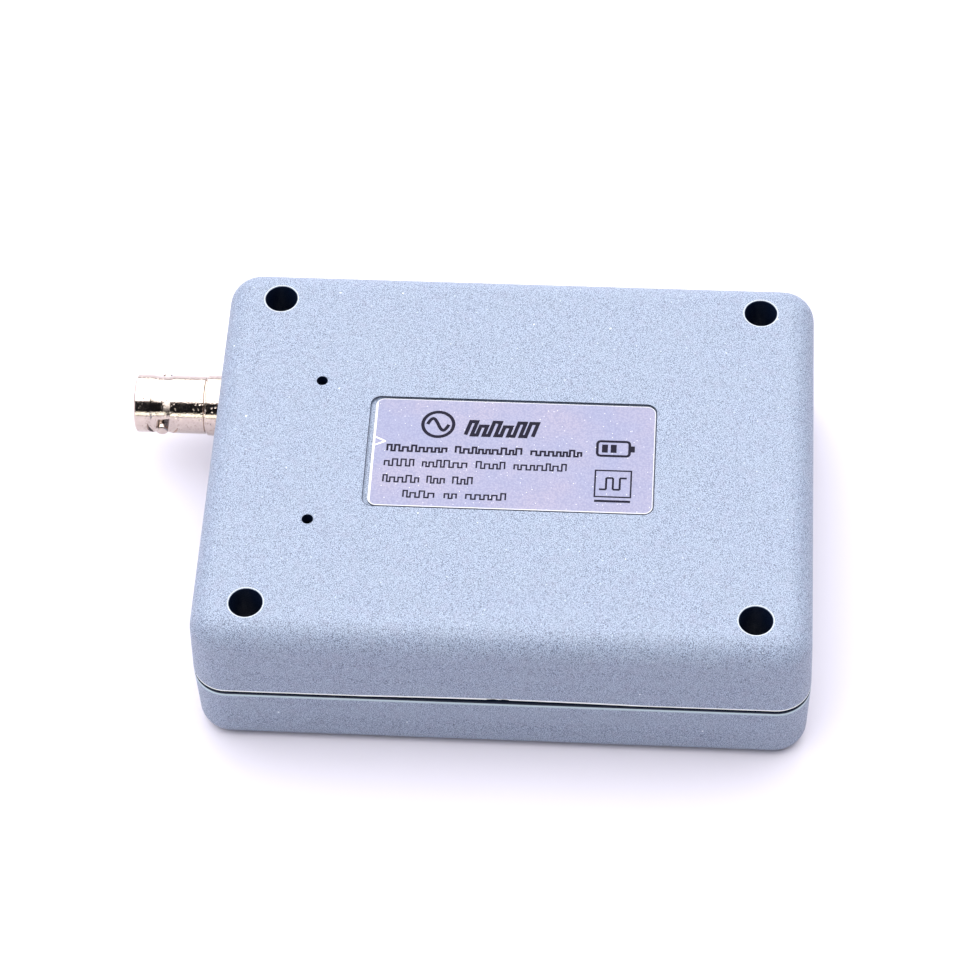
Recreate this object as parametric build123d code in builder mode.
from build123d import *
import math
import os

# Hand-held frequency counter, lying on its display side with its back cover up.
# Origin: centre of the rim round the display panel, on the surface it lies on.
# +X runs along the case away from the input connector, +Y across the case, +Z out of the back.
# All sizes are in millimetres.

os.makedirs("parts", exist_ok=True)

# ---------------------------------------------------------------- case
case_length = 97.5
case_width = 75.0
case_height = 28.3
corner_radius = 5.6
wall = 2.0
seam_height = 13.05
seam_gap = 0.6
back_draft = 2.0
front_draft = 1.2
back_edge_radius = 4.2
front_edge_radius = 2.8
seam_edge_radius = 0.3
foot_edge_radius = 0.12

cover_foot = seam_height + seam_gap
cover_height = case_height - cover_foot
ceiling = case_height - wall
left_wall = -case_length / 2

# Tongue of the front housing, standing inside the back cover's thinned lip
lip_thickness = 1.0
tongue_clearance = 0.1
tongue_height = 1.5
tongue_headroom = 0.2

# Shallow bow of the cover's front edge, and the broken-off moulding gate in its middle
bow_span = 46.0
bow_rise = 0.35
gate_rise = 0.62

# ---------------------------------------------------------------- case screws
screw_spacing_x = 79.0
screw_spacing_y = 60.7
well_radius = 2.6
well_floor = 17.0
well_edge_radius = 0.25
post_radius = 4.0
screw_radius = 1.25
screw_clearance = 0.2
screw_head_radius = 2.25
screw_head_height = 1.7
screw_tip = 5.6
boss_radius = 3.5
boss_bore_radius = 1.28
boss_bore_floor = 4.9

# ---------------------------------------------------------------- display side
panel_depth = 1.2
panel_length = 85.2
panel_width = 61.2
panel_corner = 3.0
overlay_gap = 0.2
front_floor = panel_depth + wall
fit_gap = 0.1
overlay_thickness = 0.5
window_length = 62.4
window_width = 22.4
window_thickness = 1.5
window_corner = 1.0
sight_length = 60.6
sight_width = 18.0
display_y = 7.0
key_y = -20.0
key_length = 11.6
key_width = 6.6
key_gap = 0.3
key_face = 0.25
key_places = {"range": -20.0, "hold": 0.0, "backlight": 20.0}
lamp_x = 34.0
lamp_hole_radius = 1.6
lamp_lead_hole = 0.45

# ---------------------------------------------------------------- main circuit board
board_length = 90.0
board_width = 68.0
board_corner = 3.0
board_bottom = 11.2
board_top = 12.8
board_hole_radius = 1.5

# ---------------------------------------------------------------- display module
module_length = 80.0
module_width = 36.0
module_bottom = 7.6
module_top = 8.8
module_hole_x = 75.0
module_hole_y = 31.0
module_screw_radius = 1.0
module_screw_gap = 0.25
module_screw_head = 1.9
module_screw_head_height = 1.3
module_stand_radius = 2.4
module_bore_floor = 3.6
module_screw_tip = 4.0
bezel_length = 71.2
bezel_width = 25.2
bezel_front = 3.3
bezel_sheet = 0.5
bezel_sight_length = 64.5
bezel_sight_width = 16.4
glass_thickness = 2.1
glass_margin = 0.3
light_guide_length = 68.0
light_guide_width = 22.0
pin_pitch = 2.54
pin_count = 16
pin_side = 0.6
header_x = 8.0
header_y = 22.5
header_hole_radius = 0.5
header_width = 2.5
pins_bottom = 7.0
pins_top = 14.1

# ---------------------------------------------------------------- input connector (BNC)
bnc_y = 19.1
bnc_z = 13.3
bnc_tip = -63.65
barrel_radius = 4.825
band_radius = 4.6
collar_radius = 5.05
collar_length = 3.0
bnc_bore_radius = 4.06
bnc_bore_depth = 8.4
band_start = 2.7
band_end = 6.1
lug_from_tip = 4.6
lug_radius = 1.05
lug_reach = 5.5
scallop_radius = 2.6
scallop_flat = 4.3
lug_root = 0.15
lug_tilt = 3.0
block_front = -46.4
block_back = -42.4
block_side = 12.7
wall_hole_radius = 5.35
insulator_radius = 2.4
insulator_front = bnc_tip + 3.3
contact_radius = 1.05
contact_front = insulator_front + 0.2
contact_bore_radius = 0.675
contact_bore_depth = 5.0
contact_shoulder = -44.0
tail_radius = 0.5
tail_end = -38.9

# ---------------------------------------------------------------- side controls and jack
switch_z = 14.6
switch_travel = 2.0
slider_width = 2.0
slider_height = 1.4
slider_tip = -49.5
jack_y = -20.8
jack_z = 19.3
jack_nose_radius = 4.0
jack_hole_gap = 0.2
jack_socket_radius = 3.1
jack_pin_radius = 1.0

# ---------------------------------------------------------------- trimmers under the access holes
access_radius = 0.925
trimmer_places = {"gain": (-31.3, 13.5), "reference": (-31.3, -14.1)}
trimmer_side = 4.2
rotor_radius = 1.5
rotor_clearance = 0.06

# ---------------------------------------------------------------- rating label
label_x = 0.05
label_y = -0.2
label_recess_length = 46.1
label_recess_width = 21.8
label_recess_depth = 0.5
label_corner = 1.65
label_length = 45.2
label_width = 21.3
label_thickness = 0.35
label_shift = 0.35

# ---------------------------------------------------------------- battery
battery_length = 46.0
battery_width = 34.0
battery_left = -8.0
battery_bottom = 18.0
battery_top = 25.5
lead_radius = 0.6
lead_bend = 3.4
lead_spread = 2.0
plug_back = -18.0
plug_z = 15.2
lead_top = 22.4
lead_turn_x = -24.2

down_from_seam = Plane(origin=(0, 0, seam_height), x_dir=(1, 0, 0), z_dir=(0, 0, -1))
outside_left = Plane.YZ.offset(left_wall - 1.0)
outside_front = Plane.XZ.offset(case_width / 2 + 1.0)


# Back cover: a drafted shell with a soft edge, four deep screw wells and the label recess
with BuildPart() as back_cover:
    with BuildSketch(Plane.XY.offset(cover_foot)):
        RectangleRounded(case_length, case_width, corner_radius)
    extrude(amount=cover_height, taper=back_draft)
    fillet(back_cover.edges().group_by(Axis.Z)[-1], back_edge_radius)
    fillet(back_cover.edges().group_by(Axis.Z)[0], foot_edge_radius)
    with BuildSketch(Plane.XY.offset(cover_foot)):
        RectangleRounded(case_length - 2 * wall, case_width - 2 * wall, corner_radius - wall)
    extrude(amount=ceiling - cover_foot, taper=back_draft, mode=Mode.SUBTRACT)
    fillet(back_cover.edges(Select.LAST).group_by(Axis.Z)[-1], back_edge_radius - wall)
    # Lip thinned on the inside for the tongue of the front housing
    lip_inset = 2 * lip_thickness
    with BuildSketch(Plane.XY.offset(cover_foot)):
        RectangleRounded(case_length - lip_inset, case_width - lip_inset, corner_radius - lip_thickness)
    extrude(amount=tongue_height + tongue_headroom - seam_gap, mode=Mode.SUBTRACT)
    # Screw posts that stand on the circuit board
    with BuildSketch(Plane.XY.offset(board_top)):
        with GridLocations(screw_spacing_x, screw_spacing_y, 2, 2):
            Circle(post_radius)
    extrude(amount=ceiling + wall / 2 - board_top)
    # Label recess
    with BuildSketch(Plane.XY.offset(case_height)):
        with Locations((label_x, label_y)):
            RectangleRounded(label_recess_length, label_recess_width, label_corner)
    extrude(amount=-label_recess_depth, mode=Mode.SUBTRACT)
    # Screw wells with rounded mouths, and the clearance holes below their floors
    with BuildSketch(Plane.XY.offset(case_height)):
        with GridLocations(screw_spacing_x, screw_spacing_y, 2, 2):
            Circle(well_radius)
    extrude(amount=well_floor - case_height, mode=Mode.SUBTRACT)
    mouths = back_cover.edges(Select.LAST).filter_by(GeomType.CIRCLE).group_by(Axis.Z)[-1]
    fillet(mouths, well_edge_radius)
    with BuildSketch(Plane.XY.offset(board_top)):
        with GridLocations(screw_spacing_x, screw_spacing_y, 2, 2):
            Circle(screw_radius + screw_clearance)
    extrude(amount=well_floor - board_top, mode=Mode.SUBTRACT)
    # Screwdriver holes over the two trimmers
    with BuildSketch(Plane.XY.offset(case_height)):
        with Locations(*trimmer_places.values()):
            Circle(access_radius)
    extrude(amount=-2 * wall, mode=Mode.SUBTRACT)
    # Openings in the left wall for the connector, the slide switch and the charging jack
    with BuildSketch(outside_left):
        with Locations((bnc_y, bnc_z)):
            Circle(wall_hole_radius)
        with Locations((jack_y, jack_z)):
            Circle(jack_nose_radius + jack_hole_gap)
        with Locations((0, switch_z - 0.5)):
            Rectangle(switch_travel + slider_width + 0.8, slider_height + 1.4)
    extrude(amount=2 * wall, mode=Mode.SUBTRACT)
    # Bowed front edge and the ragged gate mark in its middle
    with BuildSketch(outside_front):
        with BuildLine():
            ThreePointArc(
                (-bow_span / 2, cover_foot), (0, cover_foot + bow_rise), (bow_span / 2, cover_foot)
            )
            Line((bow_span / 2, cover_foot), (-bow_span / 2, cover_foot))
        make_face()
        with BuildLine():
            Polyline(
                (-2.3, cover_foot),
                (-1.9, cover_foot + 0.8 * gate_rise),
                (-0.8, cover_foot + gate_rise),
                (-0.1, cover_foot + 0.75 * gate_rise),
                (0.6, cover_foot + gate_rise),
                (1.5, cover_foot + 0.85 * gate_rise),
                (1.9, cover_foot),
                close=True,
            )
        make_face()
    extrude(amount=-(1.0 + lip_thickness), mode=Mode.SUBTRACT)
back_cover.part.label = "back_cover"
export_step(back_cover.part, "parts/back_cover.step")


# Front housing: the display half, with the tongue, the screw bosses and the panel openings
with BuildPart() as front_housing:
    with BuildSketch(down_from_seam):
        RectangleRounded(case_length, case_width, corner_radius)
    extrude(amount=seam_height, taper=front_draft)
    fillet(front_housing.edges().group_by(Axis.Z)[0], front_edge_radius)
    fillet(front_housing.edges().group_by(Axis.Z)[-1], seam_edge_radius)
    # Tongue round the seam
    tongue_inset = 2 * (lip_thickness + tongue_clearance)
    tongue_corner = corner_radius - lip_thickness - tongue_clearance
    with BuildSketch(Plane.XY.offset(seam_height)):
        RectangleRounded(case_length - tongue_inset, case_width - tongue_inset, tongue_corner)
    extrude(amount=tongue_height)
    with BuildSketch(Plane.XY.offset(seam_height)):
        RectangleRounded(case_length - 2 * wall, case_width - 2 * wall, corner_radius - wall)
    extrude(amount=tongue_height, mode=Mode.SUBTRACT)
    with BuildSketch(down_from_seam):
        RectangleRounded(case_length - 2 * wall, case_width - 2 * wall, corner_radius - wall)
    extrude(amount=seam_height - front_floor, taper=front_draft, mode=Mode.SUBTRACT)
    # Bosses under the circuit board, and stands for the display module
    with BuildSketch(Plane.XY.offset(front_floor)):
        with GridLocations(screw_spacing_x, screw_spacing_y, 2, 2):
            Circle(boss_radius)
    extrude(amount=board_bottom - front_floor)
    with BuildSketch(Plane.XY.offset(front_floor)):
        with Locations((0, display_y)):
            with GridLocations(module_hole_x, module_hole_y, 2, 2):
                Circle(module_stand_radius)
    extrude(amount=module_bottom - front_floor)
    with BuildSketch(Plane.XY.offset(boss_bore_floor)):
        with GridLocations(screw_spacing_x, screw_spacing_y, 2, 2):
            Circle(boss_bore_radius)
    extrude(amount=board_bottom - boss_bore_floor, mode=Mode.SUBTRACT)
    with BuildSketch(Plane.XY.offset(module_bore_floor)):
        with Locations((0, display_y)):
            with GridLocations(module_hole_x, module_hole_y, 2, 2):
                Circle(module_screw_radius + 0.03)
    extrude(amount=module_bottom - module_bore_floor, mode=Mode.SUBTRACT)
    # Recess for the printed overlay, pocket for the window and openings behind both
    with BuildSketch(Plane.XY):
        RectangleRounded(panel_length, panel_width, panel_corner)
    extrude(amount=panel_depth, mode=Mode.SUBTRACT)
    with BuildSketch(Plane.XY.offset(panel_depth)):
        with Locations((0, display_y)):
            RectangleRounded(window_length + 2 * fit_gap, window_width + 2 * fit_gap, window_corner)
    extrude(amount=window_thickness - overlay_thickness, mode=Mode.SUBTRACT)
    with BuildSketch(Plane.XY.offset(panel_depth)):
        with Locations((0, display_y)):
            RectangleRounded(sight_length, sight_width, window_corner)
        with Locations(*[(x, key_y) for x in key_places.values()]):
            RectangleRounded(key_length + 2 * key_gap, key_width + 2 * key_gap, 0.8)
        with Locations((lamp_x, key_y)):
            Circle(lamp_hole_radius)
    extrude(amount=wall, mode=Mode.SUBTRACT)
    # Openings in the left wall and the tongue
    with BuildSketch(outside_left):
        with Locations((bnc_y, bnc_z)):
            Circle(wall_hole_radius)
        with Locations((0, seam_height + 1.6)):
            Rectangle(switch_travel + slider_width + 2.0, 3.2)
    extrude(amount=2 * wall, mode=Mode.SUBTRACT)
front_housing.part.label = "front_housing"
export_step(front_housing.part, "parts/front_housing.step")


# Printed overlay that fills the panel recess, cut out for the window, the keys and the lamp
overlay_face = panel_depth - overlay_thickness
with BuildPart() as front_overlay:
    with BuildSketch(Plane.XY.offset(overlay_face)):
        RectangleRounded(
            panel_length - 2 * overlay_gap, panel_width - 2 * overlay_gap, panel_corner - overlay_gap
        )
        with Locations((0, display_y)):
            RectangleRounded(
                window_length + 2 * fit_gap, window_width + 2 * fit_gap, window_corner, mode=Mode.SUBTRACT
            )
        with Locations(*[(x, key_y) for x in key_places.values()]):
            RectangleRounded(key_length + 2 * key_gap, key_width + 2 * key_gap, 0.8, mode=Mode.SUBTRACT)
        with Locations((lamp_x, key_y)):
            Circle(lamp_hole_radius, mode=Mode.SUBTRACT)
    extrude(amount=overlay_thickness)
front_overlay.part.label = "front_overlay"
export_step(front_overlay.part, "parts/front_overlay.step")


# Clear window, flush with the overlay and stepped into the housing
with BuildPart() as display_window:
    with BuildSketch(Plane.XY.offset(overlay_face)):
        with Locations((0, display_y)):
            RectangleRounded(window_length, window_width, window_corner - fit_gap)
    extrude(amount=window_thickness)
display_window.part.label = "display_window"
export_step(display_window.part, "parts/display_window.step")


# Rating label: a thin plate in the recess of the back cover
with BuildPart() as rating_label:
    with BuildSketch(Plane.XY.offset(case_height - label_recess_depth)):
        with Locations((label_x + label_shift, label_y)):
            RectangleRounded(label_length, label_width, label_corner - 0.2)
    extrude(amount=label_thickness)
rating_label.part.label = "rating_label"
export_step(rating_label.part, "parts/rating_label.step")


# Case screws: four pan heads on the well floors, reaching down into the front bosses
with BuildPart() as case_screws:
    with BuildSketch(Plane.XY.offset(screw_tip)):
        with GridLocations(screw_spacing_x, screw_spacing_y, 2, 2):
            Circle(screw_radius)
    extrude(amount=well_floor - screw_tip)
    chamfer(case_screws.edges().group_by(Axis.Z)[0], 0.5)
    with BuildSketch(Plane.XY.offset(well_floor)):
        with GridLocations(screw_spacing_x, screw_spacing_y, 2, 2):
            Circle(screw_head_radius)
    extrude(amount=screw_head_height)
    fillet(case_screws.edges().group_by(Axis.Z)[-1], 0.6)
    with BuildSketch(Plane.XY.offset(well_floor + screw_head_height)):
        with GridLocations(screw_spacing_x, screw_spacing_y, 2, 2):
            Rectangle(2.6, 0.6)
            Rectangle(0.6, 2.6)
    extrude(amount=-0.9, mode=Mode.SUBTRACT)
case_screws.part.label = "case_screws"
export_step(case_screws.part, "parts/case_screws.step")


# Connector body: barrel with a coved band, two bayonet lugs in milled flats, collar and mounting block
barrel_axis = Axis((0, bnc_y, bnc_z), (1, 0, 0))
profile_plane = Plane(origin=(0, bnc_y, bnc_z), x_dir=(1, 0, 0), z_dir=(0, -1, 0))
collar_front = left_wall - collar_length
with BuildPart() as bnc_body:
    with BuildSketch(profile_plane):
        with BuildLine():
            ThreePointArc(
                (bnc_tip + band_start, barrel_radius),
                (bnc_tip + (band_start + band_end) / 2, band_radius),
                (bnc_tip + band_end, barrel_radius),
            )
            Polyline(
                (bnc_tip + band_end, barrel_radius),
                (collar_front - 0.35, barrel_radius),
                (collar_front - 0.2, barrel_radius - 0.15),
                (collar_front, barrel_radius - 0.15),
                (collar_front, collar_radius - 0.12),
                (collar_front + 0.12, collar_radius),
                (block_front, collar_radius),
                (block_front, insulator_radius),
                (bnc_tip + bnc_bore_depth, insulator_radius),
                (bnc_tip + bnc_bore_depth, bnc_bore_radius),
                (bnc_tip + 0.25, bnc_bore_radius),
                (bnc_tip, bnc_bore_radius + 0.25),
                (bnc_tip, barrel_radius - 0.25),
                (bnc_tip + 0.25, barrel_radius),
                (bnc_tip + band_start, barrel_radius),
            )
        make_face()
    revolve(axis=barrel_axis)
    # Milled flats with a lug left standing in each
    for tilt in (lug_tilt, lug_tilt + 180):
        lug_out = Vector(0, -math.cos(math.radians(tilt)), -math.sin(math.radians(tilt)))
        flat_plane = Plane(
            origin=Vector(bnc_tip + lug_from_tip, bnc_y, bnc_z) + lug_out * scallop_flat,
            x_dir=(1, 0, 0),
            z_dir=lug_out,
        )
        with BuildSketch(flat_plane):
            Circle(scallop_radius)
        extrude(amount=1.5, mode=Mode.SUBTRACT)
        with BuildSketch(flat_plane.offset(-lug_root)):
            Circle(lug_radius)
        extrude(amount=lug_reach - scallop_flat + lug_root)
        tip_edges = bnc_body.edges().filter_by(GeomType.CIRCLE).filter_by(
            lambda edge: abs(edge.radius - lug_radius) < 0.01
        )
        chamfer(tip_edges.sort_by(lambda edge: (edge.center() - flat_plane.origin).dot(lug_out))[-1], 0.15)
    # Square block inside the wall, with four legs that straddle the circuit board's edge
    with BuildSketch(Plane.YZ.offset(block_front)):
        with Locations((bnc_y, bnc_z)):
            RectangleRounded(block_side, block_side, 0.8)
            Circle(insulator_radius, mode=Mode.SUBTRACT)
    extrude(amount=block_back - block_front)
    with BuildSketch(Plane.YZ.offset(block_back)):
        with Locations((bnc_y, board_top + 0.75), (bnc_y, board_bottom - 0.75)):
            with GridLocations(8.8, 1, 2, 1):
                Rectangle(1.3, 1.5)
    extrude(amount=2.8)
bnc_body.part.label = "bnc_body"
export_step(bnc_body.part, "parts/bnc_body.step")


# White insulator inside the connector
with BuildPart() as bnc_insulator:
    with BuildSketch(profile_plane):
        with BuildLine():
            Polyline(
                (insulator_front, contact_radius + 0.01),
                (insulator_front, insulator_radius - 0.15),
                (insulator_front + 0.15, insulator_radius),
                (block_back, insulator_radius),
                (block_back, tail_radius + 0.02),
                (contact_shoulder, tail_radius + 0.02),
                (contact_shoulder, contact_radius + 0.01),
                close=True,
            )
        make_face()
    revolve(axis=barrel_axis)
bnc_insulator.part.label = "bnc_insulator"
export_step(bnc_insulator.part, "parts/bnc_insulator.step")


# Centre contact: a bored socket in front, a thin tail that lies on the circuit board behind
with BuildPart() as bnc_contact:
    with BuildSketch(profile_plane):
        with BuildLine():
            Polyline(
                (contact_front, contact_bore_radius + 0.08),
                (contact_front, contact_radius - 0.1),
                (contact_front + 0.1, contact_radius),
                (contact_shoulder, contact_radius),
                (contact_shoulder, tail_radius),
                (tail_end, tail_radius),
                (tail_end, 0),
                (contact_front + contact_bore_depth, 0),
                (contact_front + contact_bore_depth, contact_bore_radius),
                (contact_front + 0.08, contact_bore_radius),
                close=True,
            )
        make_face()
    revolve(axis=barrel_axis)
bnc_contact.part.label = "bnc_contact"
export_step(bnc_contact.part, "parts/bnc_contact.step")


# Main circuit board, clamped between the screw posts and the bosses
lamp_leads = ((lamp_x - pin_pitch / 2, key_y), (lamp_x + pin_pitch / 2, key_y))
with BuildPart() as main_board:
    with BuildSketch(Plane.XY.offset(board_bottom)):
        RectangleRounded(board_length, board_width, board_corner)
        with GridLocations(screw_spacing_x, screw_spacing_y, 2, 2):
            Circle(board_hole_radius, mode=Mode.SUBTRACT)
        with Locations((-board_length / 2, bnc_y)):
            notch_depth = block_back + board_length / 2 + 0.05
            Rectangle(2 * notch_depth, block_side + 0.5, mode=Mode.SUBTRACT)
        with Locations((header_x, header_y)):
            with GridLocations(pin_pitch, 1, pin_count, 1):
                Circle(header_hole_radius, mode=Mode.SUBTRACT)
        with Locations(*lamp_leads):
            Circle(lamp_lead_hole, mode=Mode.SUBTRACT)
    extrude(amount=board_top - board_bottom)
main_board.part.label = "main_board"
export_step(main_board.part, "parts/main_board.step")


# Display module: its own board, metal bezel, glass, light guide, header and screws
with BuildPart() as display_board:
    with BuildSketch(Plane.XY.offset(module_bottom)):
        with Locations((0, display_y)):
            Rectangle(module_length, module_width)
            with GridLocations(module_hole_x, module_hole_y, 2, 2):
                Circle(module_screw_radius + module_screw_gap, mode=Mode.SUBTRACT)
        with Locations((header_x, header_y)):
            with GridLocations(pin_pitch, 1, pin_count, 1):
                Circle(header_hole_radius, mode=Mode.SUBTRACT)
    extrude(amount=module_top - module_bottom)
display_board.part.label = "display_board"
export_step(display_board.part, "parts/display_board.step")

with BuildPart() as display_bezel:
    with BuildSketch(Plane.XY.offset(bezel_front)):
        with Locations((0, display_y)):
            RectangleRounded(bezel_length, bezel_width, 0.8)
    extrude(amount=module_bottom - bezel_front)
    with BuildSketch(Plane.XY.offset(bezel_front + bezel_sheet)):
        with Locations((0, display_y)):
            Rectangle(bezel_length - 2 * bezel_sheet, bezel_width - 2 * bezel_sheet)
    extrude(amount=module_bottom - bezel_front - bezel_sheet, mode=Mode.SUBTRACT)
    with BuildSketch(Plane.XY.offset(bezel_front)):
        with Locations((0, display_y)):
            Rectangle(bezel_sight_length, bezel_sight_width)
    extrude(amount=bezel_sheet, mode=Mode.SUBTRACT)
display_bezel.part.label = "display_bezel"
export_step(display_bezel.part, "parts/display_bezel.step")

glass_front = bezel_front + bezel_sheet
glass_back = glass_front + glass_thickness
glass_inset = 2 * (bezel_sheet + glass_margin)
with BuildPart() as display_glass:
    with BuildSketch(Plane.XY.offset(glass_front)):
        with Locations((0, display_y)):
            Rectangle(bezel_length - glass_inset, bezel_width - glass_inset)
    extrude(amount=glass_thickness)
display_glass.part.label = "display_glass"
export_step(display_glass.part, "parts/display_glass.step")

with BuildPart() as display_light_guide:
    with BuildSketch(Plane.XY.offset(glass_back)):
        with Locations((0, display_y)):
            Rectangle(light_guide_length, light_guide_width)
    extrude(amount=module_bottom - glass_back)
display_light_guide.part.label = "display_light_guide"
export_step(display_light_guide.part, "parts/display_light_guide.step")

with BuildPart() as display_header:
    with BuildSketch(Plane.XY.offset(module_top)):
        with Locations((header_x, header_y)):
            Rectangle(pin_count * pin_pitch, header_width)
            with GridLocations(pin_pitch, 1, pin_count, 1):
                Rectangle(pin_side + 0.02, pin_side + 0.02, mode=Mode.SUBTRACT)
    extrude(amount=board_bottom - module_top)
display_header.part.label = "display_header"
export_step(display_header.part, "parts/display_header.step")

with BuildPart() as display_pins:
    with BuildSketch(Plane.XY.offset(pins_bottom)):
        with Locations((header_x, header_y)):
            with GridLocations(pin_pitch, 1, pin_count, 1):
                Rectangle(pin_side, pin_side)
    extrude(amount=pins_top - pins_bottom)
display_pins.part.label = "display_pins"
export_step(display_pins.part, "parts/display_pins.step")

with BuildPart() as display_screws:
    with BuildSketch(Plane.XY.offset(module_screw_tip)):
        with Locations((0, display_y)):
            with GridLocations(module_hole_x, module_hole_y, 2, 2):
                Circle(module_screw_radius)
    extrude(amount=module_top - module_screw_tip)
    with BuildSketch(Plane.XY.offset(module_top)):
        with Locations((0, display_y)):
            with GridLocations(module_hole_x, module_hole_y, 2, 2):
                Circle(module_screw_head)
    extrude(amount=module_screw_head_height)
    fillet(display_screws.edges().group_by(Axis.Z)[-1], 0.4)
    with BuildSketch(Plane.XY.offset(module_top + module_screw_head_height)):
        with Locations((0, display_y)):
            with GridLocations(module_hole_x, module_hole_y, 2, 2):
                Rectangle(2.0, 0.5)
                Rectangle(0.5, 2.0)
    extrude(amount=-module_screw_head_height / 2, mode=Mode.SUBTRACT)
display_screws.part.label = "display_screws"
export_step(display_screws.part, "parts/display_screws.step")


# Keys: a cap in the panel, and behind it a push switch with its own plunger on the circuit board
switch_front = 7.7
switch_side = 6.0
switch_bore_depth = 2.0
plunger_front = 7.0
plunger_radius = 1.7
plunger_length = 1.6
plunger_clearance = 0.06
key_post_radius = 1.5
flange_bottom = front_floor + 0.1
flange_top = flange_bottom + 0.8
flange_length = key_length + 2.4
flange_width = key_width + 1.8
for key_name, key_x in key_places.items():
    with BuildPart() as key_cap:
        with BuildSketch(Plane.XY.offset(key_face)):
            with Locations((key_x, key_y)):
                RectangleRounded(key_length, key_width, 0.6)
        extrude(amount=flange_bottom - key_face)
        fillet(key_cap.edges().group_by(Axis.Z)[0], 0.4)
        with BuildSketch(Plane.XY.offset(flange_bottom)):
            with Locations((key_x, key_y)):
                RectangleRounded(flange_length, flange_width, 1.0)
        extrude(amount=flange_top - flange_bottom)
        with BuildSketch(Plane.XY.offset(flange_top)):
            with Locations((key_x, key_y)):
                Circle(key_post_radius)
        extrude(amount=plunger_front - flange_top)
    key_cap.part.label = f"{key_name}_key"
    export_step(key_cap.part, f"parts/{key_name}_key.step")

    with BuildPart() as plunger:
        with BuildSketch(Plane.XY.offset(plunger_front)):
            with Locations((key_x, key_y)):
                Circle(plunger_radius)
        extrude(amount=plunger_length)
    plunger.part.label = f"{key_name}_plunger"
    export_step(plunger.part, f"parts/{key_name}_plunger.step")

    with BuildPart() as push_switch:
        with BuildSketch(Plane.XY.offset(switch_front)):
            with Locations((key_x, key_y)):
                RectangleRounded(switch_side, switch_side, 0.4)
        extrude(amount=board_bottom - switch_front)
        with BuildSketch(Plane.XY.offset(switch_front)):
            with Locations((key_x, key_y)):
                Circle(plunger_radius + plunger_clearance)
        extrude(amount=switch_bore_depth, mode=Mode.SUBTRACT)
    push_switch.part.label = f"{key_name}_switch"
    export_step(push_switch.part, f"parts/{key_name}_switch.step")


# Power switch: a fixed body on the board's left edge and a slider through the wall
switch_body_front = -44.9
switch_body_depth = 3.6
switch_body_length = 9.0
switch_body_height = 3.6
switch_slot_depth = 2.4
with BuildPart() as power_switch_body:
    with BuildSketch(Plane.XY.offset(board_top)):
        with Locations((switch_body_front + switch_body_depth / 2, 0)):
            Rectangle(switch_body_depth, switch_body_length)
    extrude(amount=switch_body_height)
    fillet(power_switch_body.edges().group_by(Axis.Z)[-1], 0.2)
    with BuildSketch(Plane.YZ.offset(switch_body_front)):
        with Locations((0, switch_z)):
            Rectangle(switch_travel + slider_width + 0.2, slider_height + 0.12)
    extrude(amount=switch_slot_depth, mode=Mode.SUBTRACT)
power_switch_body.part.label = "power_switch_body"
export_step(power_switch_body.part, "parts/power_switch_body.step")

slider_y = -switch_travel / 2
with BuildPart() as power_switch_slider:
    with BuildSketch(Plane.YZ.offset(slider_tip)):
        with Locations((slider_y, switch_z)):
            Rectangle(slider_width, slider_height)
    extrude(amount=switch_body_front + switch_slot_depth - 0.1 - slider_tip)
    fillet(power_switch_slider.edges().group_by(Axis.X)[0], 0.3)
    # Finger groove across the tip
    with BuildSketch(Plane.XY.offset(switch_z - slider_height / 2)):
        with Locations((slider_tip, slider_y)):
            Circle(0.35)
    extrude(amount=slider_height, mode=Mode.SUBTRACT)
power_switch_slider.part.label = "power_switch_slider"
export_step(power_switch_slider.part, "parts/power_switch_slider.step")


# Charging jack: moulded body with a round nose in the wall, and its centre pin
jack_front = -46.0
jack_back = -32.4
jack_width = 8.6
jack_top = 23.8
nose_front = -47.9
socket_floor = -37.0
pin_root = 2.0
with BuildPart() as charging_jack:
    with BuildSketch(Plane.YZ.offset(jack_front)):
        with Locations((jack_y, (board_top + jack_top) / 2)):
            RectangleRounded(jack_width, jack_top - board_top, 0.6)
    extrude(amount=jack_back - jack_front)
    with BuildSketch(Plane.YZ.offset(nose_front)):
        with Locations((jack_y, jack_z)):
            Circle(jack_nose_radius)
    extrude(amount=jack_front - nose_front)
    fillet(charging_jack.edges().group_by(Axis.X)[0], 0.25)
    with BuildSketch(Plane.YZ.offset(nose_front)):
        with Locations((jack_y, jack_z)):
            Circle(jack_socket_radius)
    extrude(amount=socket_floor - nose_front, mode=Mode.SUBTRACT)
    with BuildSketch(Plane.YZ.offset(socket_floor)):
        with Locations((jack_y, jack_z)):
            Circle(jack_pin_radius + 0.01)
    extrude(amount=pin_root, mode=Mode.SUBTRACT)
charging_jack.part.label = "charging_jack"
export_step(charging_jack.part, "parts/charging_jack.step")

with BuildPart() as charging_jack_pin:
    with BuildSketch(Plane.YZ.offset(jack_front)):
        with Locations((jack_y, jack_z)):
            Circle(jack_pin_radius)
    extrude(amount=socket_floor + pin_root - jack_front)
    fillet(charging_jack_pin.edges().group_by(Axis.X)[0], 0.5)
charging_jack_pin.part.label = "charging_jack_pin"
export_step(charging_jack_pin.part, "parts/charging_jack_pin.step")


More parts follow.
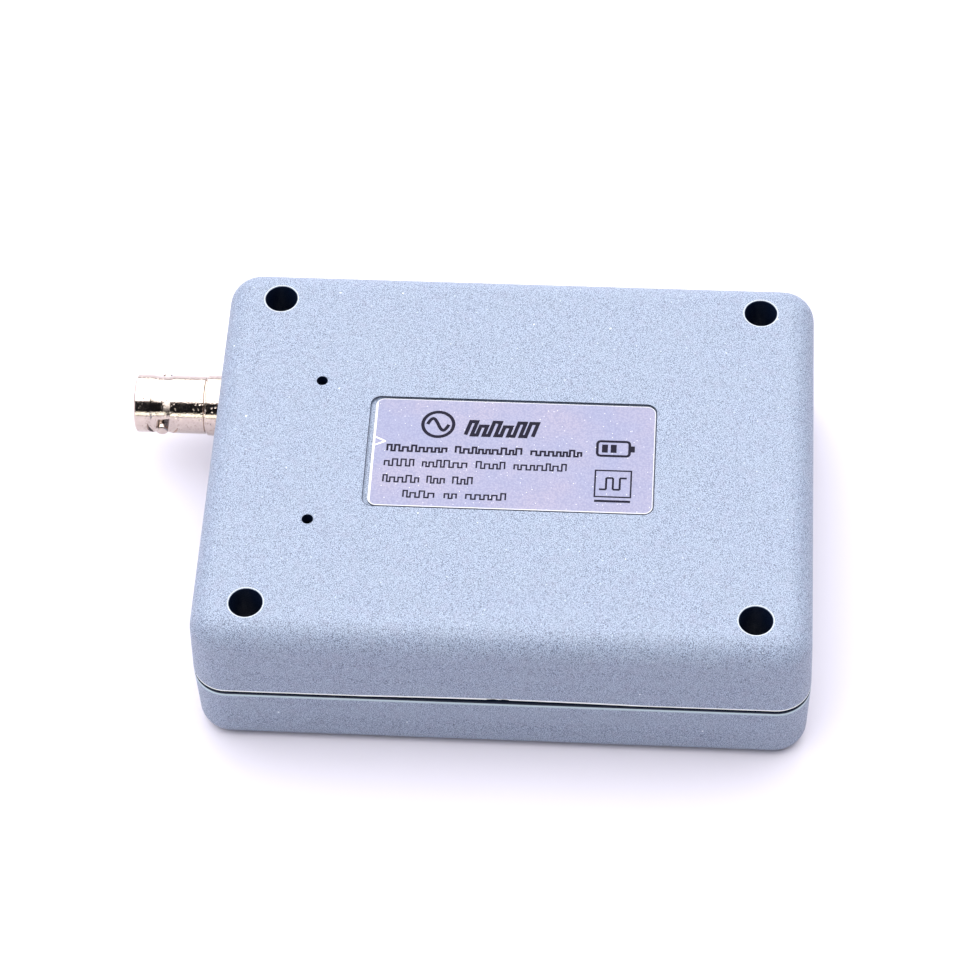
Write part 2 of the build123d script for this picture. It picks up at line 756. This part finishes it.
# Trimmers: a square body and a slotted rotor that turns in it, one under each access hole
trimmer_top = 14.8
rotor_bottom = 13.45
rotor_top = 15.1
for trimmer_name, (trimmer_x, trimmer_y) in trimmer_places.items():
    with BuildPart() as trimmer_body:
        with BuildSketch(Plane.XY.offset(board_top)):
            with Locations((trimmer_x, trimmer_y)):
                RectangleRounded(trimmer_side, trimmer_side, 0.3)
        extrude(amount=trimmer_top - board_top)
        with BuildSketch(Plane.XY.offset(trimmer_top)):
            with Locations((trimmer_x, trimmer_y)):
                Circle(rotor_radius + rotor_clearance)
        extrude(amount=rotor_bottom - 0.05 - trimmer_top, mode=Mode.SUBTRACT)
    trimmer_body.part.label = f"{trimmer_name}_trimmer_body"
    export_step(trimmer_body.part, f"parts/{trimmer_name}_trimmer_body.step")

    with BuildPart() as trimmer_rotor:
        with BuildSketch(Plane.XY.offset(rotor_bottom)):
            with Locations((trimmer_x, trimmer_y)):
                Circle(rotor_radius)
        extrude(amount=rotor_top - rotor_bottom)
        with BuildSketch(Plane.XY.offset(rotor_top)):
            with Locations((trimmer_x, trimmer_y)):
                Rectangle(2.2, 0.5)
        extrude(amount=-0.6, mode=Mode.SUBTRACT)
    trimmer_rotor.part.label = f"{trimmer_name}_trimmer_rotor"
    export_step(trimmer_rotor.part, f"parts/{trimmer_name}_trimmer_rotor.step")


# Screening can over the input stage, with a hole above the gain trimmer
can_left = -37.0
can_right = -17.0
can_low_y = 8.0
can_high_y = 26.0
can_top = 16.0
can_sheet = 0.3
can_hole_radius = 1.5
can_centre = ((can_left + can_right) / 2, (can_low_y + can_high_y) / 2)
with BuildPart() as screening_can:
    with BuildSketch(Plane.XY.offset(board_top)):
        with Locations(can_centre):
            RectangleRounded(can_right - can_left, can_high_y - can_low_y, 0.8)
    extrude(amount=can_top - board_top)
    with BuildSketch(Plane.XY.offset(board_top)):
        with Locations(can_centre):
            Rectangle(can_right - can_left - 2 * can_sheet, can_high_y - can_low_y - 2 * can_sheet)
    extrude(amount=can_top - board_top - can_sheet, mode=Mode.SUBTRACT)
    with BuildSketch(Plane.XY.offset(can_top)):
        with Locations(trimmer_places["gain"]):
            Circle(can_hole_radius)
    extrude(amount=-can_sheet, mode=Mode.SUBTRACT)
    # Slot in the left side over the connector's centre contact and upper legs
    with BuildSketch(Plane.YZ.offset(can_left - 0.5)):
        with Locations((bnc_y, board_top + 0.9)):
            Rectangle(3.0, 1.8)
    extrude(amount=1.0, mode=Mode.SUBTRACT)
screening_can.part.label = "screening_can"
export_step(screening_can.part, "parts/screening_can.step")


# Prescaler chip with four leads on each long side, under the screening can
lead_thickness = 0.3
chip_standoff = 0.1
prescaler_place = (-24.0, 18.5)
prescaler_length = 4.9
prescaler_width = 3.9
prescaler_height = 1.5
with BuildPart() as prescaler_chip:
    with BuildSketch(Plane.XY.offset(board_top + chip_standoff)):
        with Locations(prescaler_place):
            Rectangle(prescaler_length, prescaler_width)
    extrude(amount=prescaler_height)
    with BuildSketch(Plane.XY.offset(board_top)):
        with Locations(prescaler_place):
            with GridLocations(1.27, prescaler_width + 1.1, 4, 2):
                Rectangle(0.42, 1.2)
    extrude(amount=lead_thickness)
prescaler_chip.part.label = "prescaler_chip"
export_step(prescaler_chip.part, "parts/prescaler_chip.step")


# Microcontroller with eleven leads on each side
controller_place = (-18.0, -14.0)
controller_side = 10.0
controller_height = 1.4
controller_lead_pitch = 0.8
with BuildPart() as microcontroller:
    with BuildSketch(Plane.XY.offset(board_top + chip_standoff)):
        with Locations(controller_place):
            Rectangle(controller_side, controller_side)
    extrude(amount=controller_height)
    with BuildSketch(Plane.XY.offset(board_top)):
        with Locations(controller_place):
            with GridLocations(controller_lead_pitch, controller_side + 0.8, 11, 2):
                Rectangle(0.35, 1.2)
            with GridLocations(controller_side + 0.8, controller_lead_pitch, 2, 11):
                Rectangle(1.2, 0.35)
    extrude(amount=lead_thickness)
microcontroller.part.label = "microcontroller"
export_step(microcontroller.part, "parts/microcontroller.step")


# Quartz crystal: a drawn can on a wider rim
crystal_place = (-24.0, -26.0)
crystal_length = 10.4
crystal_width = 3.9
crystal_height = 3.5
rim_height = 0.4
rim_overhang = 1.0
with BuildPart() as quartz_crystal:
    with BuildSketch(Plane.XY.offset(board_top)):
        with Locations(crystal_place):
            SlotOverall(crystal_length + rim_overhang, crystal_width + rim_overhang)
    extrude(amount=rim_height)
    with BuildSketch(Plane.XY.offset(board_top + rim_height)):
        with Locations(crystal_place):
            SlotOverall(crystal_length, crystal_width)
    extrude(amount=crystal_height - rim_height)
    fillet(quartz_crystal.edges().group_by(Axis.Z)[-1], 0.4)
quartz_crystal.part.label = "quartz_crystal"
export_step(quartz_crystal.part, "parts/quartz_crystal.step")


# Voltage regulator with its heat tab on one side and three leads on the other
regulator_place = (8.0, -28.0)
regulator_length = 6.5
regulator_width = 3.5
regulator_height = 1.6
regulator_reach = 2.6
with BuildPart() as voltage_regulator:
    with BuildSketch(Plane.XY.offset(board_top + chip_standoff)):
        with Locations(regulator_place):
            Rectangle(regulator_length, regulator_width)
    extrude(amount=regulator_height)
    with BuildSketch(Plane.XY.offset(board_top)):
        with Locations(regulator_place):
            with Locations((0, regulator_reach)):
                Rectangle(3.0, 1.8)
            with Locations((0, -regulator_reach)):
                with GridLocations(2.3, 1, 3, 1):
                    Rectangle(0.7, 1.8)
    extrude(amount=lead_thickness)
voltage_regulator.part.label = "voltage_regulator"
export_step(voltage_regulator.part, "parts/voltage_regulator.step")


# Two filter capacitors: round cans on square bases
capacitor_places = ((-6.0, -26.5), (22.0, -26.5))
capacitor_radius = 2.5
capacitor_base = 5.3
base_height = 0.8
capacitor_height = 5.4
with BuildPart() as filter_capacitors:
    with BuildSketch(Plane.XY.offset(board_top)):
        with Locations(*capacitor_places):
            Rectangle(capacitor_base, capacitor_base)
    extrude(amount=base_height)
    with BuildSketch(Plane.XY.offset(board_top + base_height)):
        with Locations(*capacitor_places):
            Circle(capacitor_radius)
    extrude(amount=capacitor_height - base_height)
    fillet(filter_capacitors.edges().group_by(Axis.Z)[-1], 0.4)
filter_capacitors.part.label = "filter_capacitors"
export_step(filter_capacitors.part, "parts/filter_capacitors.step")


# Rechargeable battery pack, taped to the inside of the back cover
battery_centre = (battery_left + battery_length / 2, 0)
tape_inset = 6.0
with BuildPart() as battery_pack:
    with BuildSketch(Plane.XY.offset(battery_bottom)):
        with Locations(battery_centre):
            RectangleRounded(battery_length, battery_width, 2.0)
    extrude(amount=battery_top - battery_bottom)
    fillet(battery_pack.edges().group_by(Axis.Z)[0], 0.8)
battery_pack.part.label = "battery_pack"
export_step(battery_pack.part, "parts/battery_pack.step")

with BuildPart() as battery_tape:
    with BuildSketch(Plane.XY.offset(battery_top)):
        with Locations(battery_centre):
            Rectangle(battery_length - tape_inset, battery_width - tape_inset)
    extrude(amount=ceiling - battery_top)
battery_tape.part.label = "battery_tape"
export_step(battery_tape.part, "parts/battery_tape.step")


# Battery socket on the board, its plug, and the two leads that loop back to the pack
socket_front = -15.6
socket_back = -9.6
socket_top = 17.6
socket_width = 7.9
socket_depth = 5.0
plug_width = 5.9
plug_height = 3.3
plug_length = 7.2
plug_gap = 0.15
with BuildPart() as battery_socket:
    with BuildSketch(Plane.YZ.offset(socket_front)):
        with Locations((0, (board_top + socket_top) / 2)):
            Rectangle(socket_width, socket_top - board_top)
    extrude(amount=socket_back - socket_front)
    with BuildSketch(Plane.YZ.offset(socket_front)):
        with Locations((0, plug_z)):
            Rectangle(plug_width + 2 * plug_gap, plug_height + 2 * plug_gap)
    extrude(amount=socket_depth, mode=Mode.SUBTRACT)
battery_socket.part.label = "battery_socket"
export_step(battery_socket.part, "parts/battery_socket.step")

with BuildPart() as battery_plug:
    with BuildSketch(Plane.YZ.offset(plug_back)):
        with Locations((0, plug_z)):
            Rectangle(plug_width, plug_height)
    extrude(amount=plug_length)
battery_plug.part.label = "battery_plug"
export_step(battery_plug.part, "parts/battery_plug.step")

for lead_name, lead_y in {"red": lead_spread / 2, "black": -lead_spread / 2}.items():
    with BuildPart() as lead:
        with BuildLine() as route:
            FilletPolyline(
                (plug_back, lead_y, plug_z),
                (lead_turn_x, lead_y, plug_z),
                (lead_turn_x, lead_y, lead_top),
                (battery_left, lead_y, lead_top),
                radius=lead_bend,
            )
        with BuildSketch(Plane(origin=(plug_back, lead_y, plug_z), z_dir=(-1, 0, 0))):
            Circle(lead_radius)
        sweep(path=route.line)
    lead.part.label = f"battery_lead_{lead_name}"
    export_step(lead.part, f"parts/battery_lead_{lead_name}.step")


# Charging lamp: a round-nosed lens in the panel on two leads from the circuit board
lens_tip = 0.95
lens_radius = 1.5
lamp_flange_bottom = 4.6
lamp_flange_top = 5.4
lamp_flange_radius = 1.9
lamp_lead_end = board_top + 1.0
lamp_plane = Plane(origin=(lamp_x, key_y, 0), x_dir=(1, 0, 0), z_dir=(0, -1, 0))
with BuildPart() as charging_lamp:
    with BuildSketch(lamp_plane):
        with BuildLine():
            ThreePointArc(
                (0, lens_tip),
                (lens_radius * math.sin(math.pi / 4), lens_tip + lens_radius * (1 - math.cos(math.pi / 4))),
                (lens_radius, lens_tip + lens_radius),
            )
            Polyline(
                (lens_radius, lens_tip + lens_radius),
                (lens_radius, lamp_flange_bottom),
                (lamp_flange_radius, lamp_flange_bottom),
                (lamp_flange_radius, lamp_flange_top),
                (0, lamp_flange_top),
                (0, lens_tip),
            )
        make_face()
    revolve(axis=Axis((lamp_x, key_y, 0), (0, 0, 1)))
    with BuildSketch(Plane.XY.offset(lamp_flange_top)):
        with Locations(*lamp_leads):
            Rectangle(0.5, 0.5)
    extrude(amount=lamp_lead_end - lamp_flange_top)
charging_lamp.part.label = "charging_lamp"
export_step(charging_lamp.part, "parts/charging_lamp.step")
